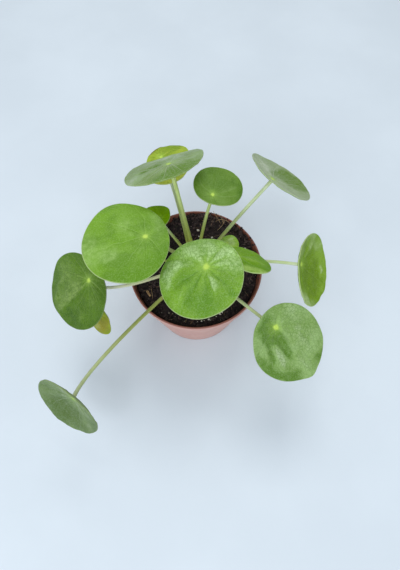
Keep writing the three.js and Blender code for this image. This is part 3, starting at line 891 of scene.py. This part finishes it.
def bladeAxes(leaf):
    bearing, drop, roll = (radians(leaf[key]) for key in ("tip", "drop", "roll"))
    outward = Vector((cos(bearing), sin(bearing), 0))
    upward = Vector((0, 0, 1))
    along = outward * cos(drop) - upward * sin(drop)
    level = outward * sin(drop) + upward * cos(drop)
    facing = level * cos(roll) + level.cross(along) * sin(roll)
    return along, facing.cross(along), facing


def edgeShare(leaf, turn):
    return 1 + sum(depth * bell(remainder(turn - bearing, 360), spread)
                   for bearing, depth, spread in leaf["nicks"])


# Place on the blade in its own plane: along, across, and height of the middle surface.
def bladePoint(leaf, ring, turn):
    length, width = leaf["size"]
    share = edgeShare(leaf, turn)
    x = ring * (leaf["offset"] + length / 2 * share * cos(radians(turn)))
    y = ring * width / 2 * share * sin(radians(turn))
    z = -leaf["dome"] * ring ** 2 - leaf["bend"] * (x / (length / 2)) ** 2
    for lobes, height, phase in leaf["waves"]:
        z += height * ring ** 3 * cos(radians(lobes * turn + phase))
    return x, y, z


# Smooth unevenness of a given size, another one for each leaf and layer.
def uneven(leaf, x, y, size, layer=0):
    return noise.noise(Vector((x / size, y / size, leaf["tip"] + layer)))


# Counts main veins round the dot: a whole number falls on a vein.
def veinCount(leaf, x, y, ring):
    bearing = atan2(y, x)
    spacing = 9 * sin(2 * bearing + leaf["tip"]) + 6 * sin(3 * bearing - leaf["tip"])
    wander = 4 * uneven(leaf, x, y, 7) * min(1, hypot(x, y) / 5)
    curve = blade["veinCurve"] * sin(bearing) * ring ** 2
    return (degrees(bearing) + spacing + wander + curve + 180) / 360 * leaf["veins"]


def foldHeight(leaf, x, y):
    height = 0
    x += blade["foldWander"] * uneven(leaf, x, y, 4)
    y += blade["foldWander"] * uneven(leaf, x, y, 4, 9)
    for x1, y1, x2, y2, rise, left, right in leaf["folds"]:
        length = hypot(x2 - x1, y2 - y1)
        share = ((x - x1) * (x2 - x1) + (y - y1) * (y2 - y1)) / length ** 2
        side = ((y - y1) * (x2 - x1) - (x - x1) * (y2 - y1)) / length
        run = smoothStep(-0.05, 0.25, share) * (1 - smoothStep(0.75, 1.1, share))
        if run > 0:
            height += rise * run * exp(-abs(side / (left if side > 0 else right)) ** 1.5)
    return height


# How pale (above 0) or dark (below 0) the blade is at a place. Ridges and bulges get painted highlight,
# grooves and veins painted shade, and the patches painted highlights and shade along with the leaf's own
# tones.
def palenessWithPaintedLight(leaf, x, y, ring):
    pale = blade["foldPaintedLight"] * foldHeight(leaf, x, y)
    for patchX, patchY, reachX, reachY, toneAndPaintedLight in leaf["patches"]:
        pale += toneAndPaintedLight * bell(x - patchX, reachX) * bell(y - patchY, reachY)
    count = veinCount(leaf, x, y, ring)
    bulge = sin(pi * abs(count - round(count))) - 0.55
    pale += blade["bulgePaintedLight"] * leaf["pucker"] * bulge * smoothStep(0.03, 0.25, ring) * (1 - 0.6 * ring)
    pale += blade["lumpTone"] * leaf["lumps"] * uneven(leaf, x, y, 5, 3) * smoothStep(0.1, 0.4, ring)
    return max(-1, min(1, pale))


# What the leaf's surface does beyond its plain shape.
def relief(leaf, x, y, ring):
    away = hypot(x, y)
    height = blade["knob"] * bell(away, blade["knobReach"])
    height -= blade["hollow"] * bell(away, blade["hollowReach"])
    count = veinCount(leaf, x, y, ring)
    offVein = abs(count - round(count))
    groove = bell(offVein * away * tau / leaf["veins"], blade["grooveReach"])
    height -= blade["groove"] * groove * smoothStep(0.02, 0.12, ring) * (1 - 0.6 * ring)
    bulge = sin(pi * offVein) * smoothStep(0.05, 0.55, ring)
    height += leaf["pucker"] * bulge * (1 - 0.55 * ring)
    height += foldHeight(leaf, x, y)
    spot = Vector((x / 6.5, y / 6.5, leaf["tip"] * 0.37))
    lumps = noise.noise(spot) + 0.4 * noise.noise(spot * 2.6)
    return height + leaf["lumps"] * lumps * smoothStep(0.05, 0.3, ring)


# The maps of a blade: place (1 is 100 mm), distance from the dot, count of veins, and ring.
def bladeMaps(shader):
    flat = uvMap(shader, "flat")
    away = addNode(flat, "VectorMath", {0: flat}, operation="LENGTH").outputs["Value"]
    count, ring = split(uvMap(shader, "veins"))[:2]
    return flat, away, count, ring


# A line along each vein, or along `more` times as many.
def veinLine(leaf, count, away, more, low, high):
    off = calc("PINGPONG", times(count, float(more)), 0.5)
    return fade(times(times(off, away), tau / leaf["veins"] / more), low, high, 1.0, 0.0)


# Two greens, then the paler and deeper places with their painted highlights and painted shade, then fine
# specks.
def leafGreens(leaf, place, toneAndPaintedLight):
    main, shade, pale, deep = leaf["colours"]
    tone = blend(mottle(place, 70, 4, 0.38, 0.62, rough=0.55), shade, main)
    broken = times(toneAndPaintedLight, mottle(place, 420, 3, 0.3, 0.7, 0.7, 1.2))
    tone = blend(fade(broken, 0.0, 1.0, 0.0, 0.8), tone, pale)
    tone = blend(fade(broken, -1.0, 0.0, 0.9, 0.0), tone, deep)
    speck = mottle(place, 1500, 3, 0.42, 0.66, rough=0.6)
    return blend(times(speck, 0.22), tone, pale)


def addVeins(leaf, tone, away, count, ring):
    pale = leaf["colours"][2]
    lines = []
    for more, width, strength, start in blade["veinKinds"]:
        line = veinLine(leaf, count, away, more, width * 0.25, width)
        reach = times(fade(ring, start, start + 0.1), fade(ring, 0.25, 1.0, 1.0, 0.25))
        lines.append(times(line, reach))
        tone = blend(times(lines[-1], strength * leaf["veinPale"]), tone, pale)
    return tone, lines[0]


# Bends the straight walls of cells a little.
def bent(flat):
    shift = addNode(flat, "TexNoise", {"Vector": flat, "Scale": 60.0, "Detail": 2.0}).outputs["Color"]
    small = addNode(flat, "VectorMath", {0: shift, 1: (0.012, 0.012, 0.0)}, operation="MULTIPLY").outputs[0]
    return addNode(flat, "VectorMath", {0: flat, 1: small}, operation="ADD").outputs[0]


# A net of fine sunken veins; painted shade darkens their lines against the cells between them, most where
# the blade is paler.
def addNet(leaf, tone, flat, toneAndPaintedLight):
    spread = bent(flat)
    coarse = fade(cells(spread, 48, "DISTANCE_TO_EDGE"), 0.0, 0.12)
    finer = fade(cells(spread, 120, "DISTANCE_TO_EDGE"), 0.0, 0.14)
    raised = calc("ADD", times(coarse, 0.6), times(finer, 0.4))
    netShade = calc("SUBTRACT", 1.0, raised)
    clear = fade(toneAndPaintedLight, -0.3, 0.6, 0.3 * leaf["net"], 0.7 * leaf["net"])
    tone = blend(times(netShade, clear), tone, leaf["colours"][3])
    return tone, coarse, finer


# The dot over the petiole, with a soft halo, and the thin pale edge.
def addDot(leaf, tone, flat, away, ring):
    ragged = times(away, mottle(flat, 26, 2, 0.3, 0.7, 0.8, 1.25))
    ragged = times(ragged, 1 / leaf["dotSize"])
    tone = blend(fade(ragged, 0.006, 0.06, 0.45, 0.0), tone, blade["glowColour"])
    tone = blend(fade(ragged, 0.006, 0.021, 1.0, 0.0), tone, blade["dotColour"])
    edge = blade["edgePaleHazy"] if leaf["haze"] else blade["edgePale"]
    return blend(fade(ring, 0.982, 0.998, 0.0, edge), tone, blade["edgeColour"])


# Age: brown flecks in the darker parts, and a brown rolled edge behind the dot.
def addAge(leaf, tone, place, flat, toneAndPaintedLight):
    fleckColour, edgeColour = leaf["aged"]
    flecks = times(mottle(place, 160, 4, 0.56, 0.7, rough=0.6), fade(toneAndPaintedLight, -0.2, 0.5, 0.12, 0.0))
    tone = blend(flecks, tone, fleckColour)
    return blend(fade(split(flat)[0], -0.068, -0.056, 0.8, 0.0), tone, edgeColour)


# Some light comes through the blade.
def throughLight(shader, tone):
    behind = addNode(shader, "BsdfTranslucent", {"Color": tone})
    mix = addNode(shader, "MixShader", {0: blade["through"], 1: shader.outputs[0], 2: behind.outputs[0]})
    feed(shader.id_data.nodes["Material Output"], {"Surface": mix.outputs[0]})


def bladeMaterial(leaf):
    material, shader, place = newMaterial("leaf " + leaf["name"].replace("_", " "))
    flat, away, count, ring = bladeMaps(shader)
    # the paleness map, painted highlights and painted shade included
    toneAndPaintedLight = split(uvMap(shader, "paintedLightMap"))[0]
    tone = leafGreens(leaf, place, toneAndPaintedLight)
    tone, mainVeins = addVeins(leaf, tone, away, count, ring)
    tone, coarse, finer = addNet(leaf, tone, flat, toneAndPaintedLight)
    tone = addDot(leaf, tone, flat, away, ring)
    if leaf["aged"]:
        tone = addAge(leaf, tone, place, flat, toneAndPaintedLight)
    normal = bump(grain(place, 1900, 3, 0.6), 0.2 + 0.15 * leaf["net"], 0.00025)
    normal = bump(finer, 0.3 * leaf["net"], 0.0002, normal)
    normal = bump(coarse, 0.3 * leaf["net"], 0.0005, normal)
    normal = bump(mainVeins, 0.25, -0.0003, normal)
    roughness = varied(place, 500, 3, leaf["shine"] - 0.05, leaf["shine"] + 0.09)
    feed(shader, {"Base Color": tone, "Roughness": roughness, "Normal": normal,
                  "IOR": blade["refraction"], "Specular IOR Level": leaf["gloss"],
                  "Sheen Weight": leaf["haze"], "Sheen Roughness": blade["hazeRoughness"],
                  "Sheen Tint": blade["hazeColour"]})
    throughLight(shader, tone)
    return material


def undersideMaterial(leaf):
    material, shader, place = newMaterial("leaf back " + leaf["name"].replace("_", " "))
    _, away, count, ring = bladeMaps(shader)
    main, shade, pale = leaf["colours"][:3]
    tone = blend(mottle(place, 90, 4, 0.35, 0.65), shade, main)
    tone = blend(0.5, tone, blade["underside"])
    line = veinLine(leaf, count, away, 1, 0.002, 0.008)
    line = times(line, fade(ring, 0.3, 1.0, 1.0, 0.2))
    tone = blend(times(line, 0.55), tone, pale)
    tone = blend(fade(away, 0.01, 0.05, 0.7, 0.0), tone, pale)
    fine = bump(grain(place, 1900, 3, 0.6), 0.3, 0.00025)
    feed(shader, {"Base Color": tone, "Roughness": varied(place, 500, 3, 0.52, 0.68),
                  "Normal": bump(line, 0.5, 0.0005, fine)})
    throughLight(shader, tone)
    return material


# A round sheet one unit in radius: a line from its middle, spun.
def plainDisc(rings, turns):
    bm = bmesh.new()
    line = wireLine(bm, [(0, 0, 0), (1, 0, 0)])
    bmesh.ops.subdivide_edges(bm, edges=line, cuts=rings - 1)
    spinAll(bm, turns)
    return bm


# Gives the blade its maps, and the faces that look down the underside's material.
def mapBlade(bm, leaf, rings):
    dot = Vector(leaf["dot"])
    along, across, facing = bladeAxes(leaf)
    # the third map holds the paleness, painted highlights and painted shade included
    flat, veins, paintedLightMap = (bm.loops.layers.uv.new(name) for name in ("flat", "veins", "paintedLightMap"))
    spots = {}
    for vert in bm.verts:
        gap = vert.co - dot
        x, y, ring = gap.dot(along), gap.dot(across), vert[rings]
        spots[vert] = (x / 100, y / 100, ring, veinCount(leaf, x, y, ring), palenessWithPaintedLight(leaf, x, y, ring))
    for face in bm.faces:
        face.material_index = 1 if face.normal.dot(facing) < -0.3 else 0
        # the count starts again behind the dot, so each face keeps to its outermost corner
        outer = max(spots[vert][2:4] for vert in face.verts)[1]
        for loop in face.loops:
            x, y, ring, count, toneAndPaintedLight = spots[loop.vert]
            count = outer if ring < 1e-4 else count + leaf["veins"] * round((outer - count) / leaf["veins"])
            loop[flat].uv = (x, y)
            loop[paintedLightMap].uv = (toneAndPaintedLight, ring)
            loop[veins].uv = (count, ring)


def makeBlade(leaf):
    along, across, facing = bladeAxes(leaf)
    bm = (largeDisc if leaf["size"][0] > blade["largeFrom"] else smallDisc).copy()
    rings = bm.verts.layers.float.new("ring")
    for vert in bm.verts:
        ring = min(1, hypot(vert.co.x, vert.co.y))
        vert[rings] = ring
        x, y, z = bladePoint(leaf, ring, degrees(atan2(vert.co.y, vert.co.x)))
        z += relief(leaf, x, y, ring) + blade["thickness"] / 2
        vert.co = Vector(leaf["dot"]) + along * x + across * y + facing * z
    # a second face below, then a rounded edge
    grown = bmesh.ops.extrude_face_region(bm, geom=bm.faces[:])["geom"]
    lower = [item for item in grown if isinstance(item, bmesh.types.BMVert)]
    bmesh.ops.translate(bm, verts=lower, vec=-facing * blade["thickness"])
    faceOutward(bm)
    bm.normal_update()
    rim = [edge for edge in bm.edges if edge.calc_face_angle(0) > 1]
    bmesh.ops.bevel(bm, geom=rim, offset=blade["roundEdge"], segments=2, affect="EDGES", profile=0.5,
                    material=-1)
    bm.normal_update()
    mapBlade(bm, leaf, rings)
    finishPiece(bm, "leaf_" + leaf["name"], [bladeMaterial(leaf), undersideMaterial(leaf)],
                "blade_" + leaf["name"])


# Petioles: pale and slightly ribbed, from the stem's side to the blade's dot.
petiole = {
    "sides": 20, "steps": 56, "rib": 0.035, "ribs": 5, "gap": 0.3, "footIn": 0.5, "tipIn": 0.45,
    "footSwelling": 0.25, "tipSwelling": 0.2, "line": "a0ac68", "tip": "b8cc6c",
    # of each skin: green, paler green, and the tone towards the foot
    "skins": {"plain": ("b8c894", "ccdab2", "98a43c"), "pale": ("eaecd4", "f6f6ea", "d4d6a8"),
              "olive": ("a0ac78", "b6c294", "9ea650"), "fresh": ("aec46c", "c4d68c", "98a43c")},
    # the pale skin is painted light, lightening a petiole that lies in the shade of the leaves above
    "others": {"top_left": "fresh", "top_middle": "fresh", "left_low": "pale", "far_left": "olive",
               "left_big": "olive", "right_low": "olive"},
    "subsurface": 0.15, "subsurfaceRadius": (0.8, 1.0, 0.4),
}


def petioleMaterial(name, green, pale, foot):
    material, shader, place = newMaterial(name + " petiole skin")
    turn, along = split(uvMap(shader, "run"))[:2]
    tone = blend(mottle(place, 90, 3, 0.35, 0.65), green, pale)
    wobble = times(grain(place, 60, 1), 0.25)
    stripes = calc("ADD", times(turn, float(petiole["ribs"])), wobble)
    stripe = fade(calc("PINGPONG", stripes, 0.5), 0.0, 0.22, 1.0, 0.0)
    tone = blend(times(stripe, 0.45), tone, petiole["line"])
    tone = blend(fade(along, 0.12, 0.6, 0.95, 0.0), tone, foot)
    tone = blend(fade(along, 0.93, 1.0, 0.0, 0.6), tone, petiole["tip"])
    fine = bump(grain(place, 2400, 3), 0.2, 0.0002)
    feed(shader, {"Base Color": tone, "Roughness": varied(place, 700, 3, 0.4, 0.55),
                  "Normal": bump(stripe, 0.3, -0.0002, fine), "Subsurface Weight": petiole["subsurface"],
                  "Subsurface Radius": petiole["subsurfaceRadius"], "Subsurface Scale": mm})
    return material


# The petiole's middle line, from just inside the stem to just inside the blade.
def petiolePath(leaf):
    facing = bladeAxes(leaf)[2]
    bearing, height = leaf["node"]
    outward = Vector((cos(radians(bearing)), sin(radians(bearing)), 0))
    reach = Vector(leaf["reach"])
    steepness = (reach - outward * stem["radius"] - Vector((0, 0, height))).normalized().z
    start = outward * (stemRadius(height) + 0.1 + petiole["gap"] + 0.65 * leaf["girth"][0] * steepness)
    start.z = height
    end = Vector(leaf["dot"]) - facing * (blade["thickness"] / 2 + petiole["gap"])
    path = interpolate_bezier(start, reach, end - facing * leaf["neck"], end, petiole["steps"] + 1)
    path[0] = path[0] - outward * petiole["footIn"]
    path[-1] = end + facing * petiole["tipIn"]
    return path


def makePetiole(leaf, material):
    path = petiolePath(leaf)
    lengths = [0]
    for a, b in zip(path, path[1:]):
        lengths.append(lengths[-1] + (b - a).length)
    thick, thin = leaf["girth"]
    radii = []
    for along in (length / lengths[-1] for length in lengths):
        swelling = petiole["footSwelling"] * exp(-14 * along)
        swelling += petiole["tipSwelling"] * exp(-30 * (1 - along))
        radii.append(lerp(thick, thin, along) / 2 * (1 + swelling))
    bm = bmesh.new()
    sweepTube(bm, path, radii, petiole["sides"], petiole["rib"], petiole["ribs"])
    faceOutward(bm)
    finishPiece(bm, "stalk_" + leaf["name"], [material], "petiole_" + leaf["name"])


skins = {name: petioleMaterial(name, *tones) for name, tones in petiole["skins"].items()}
largeDisc = plainDisc(*blade["largeGrid"])
smallDisc = plainDisc(*blade["smallGrid"])
for row in leaves:
    leaf = {**plainLeaf, **row}
    makePetiole(leaf, skins[petiole["others"].get(leaf["name"], "plain")])
    makeBlade(leaf)
    print("leaf made:", leaf["name"])
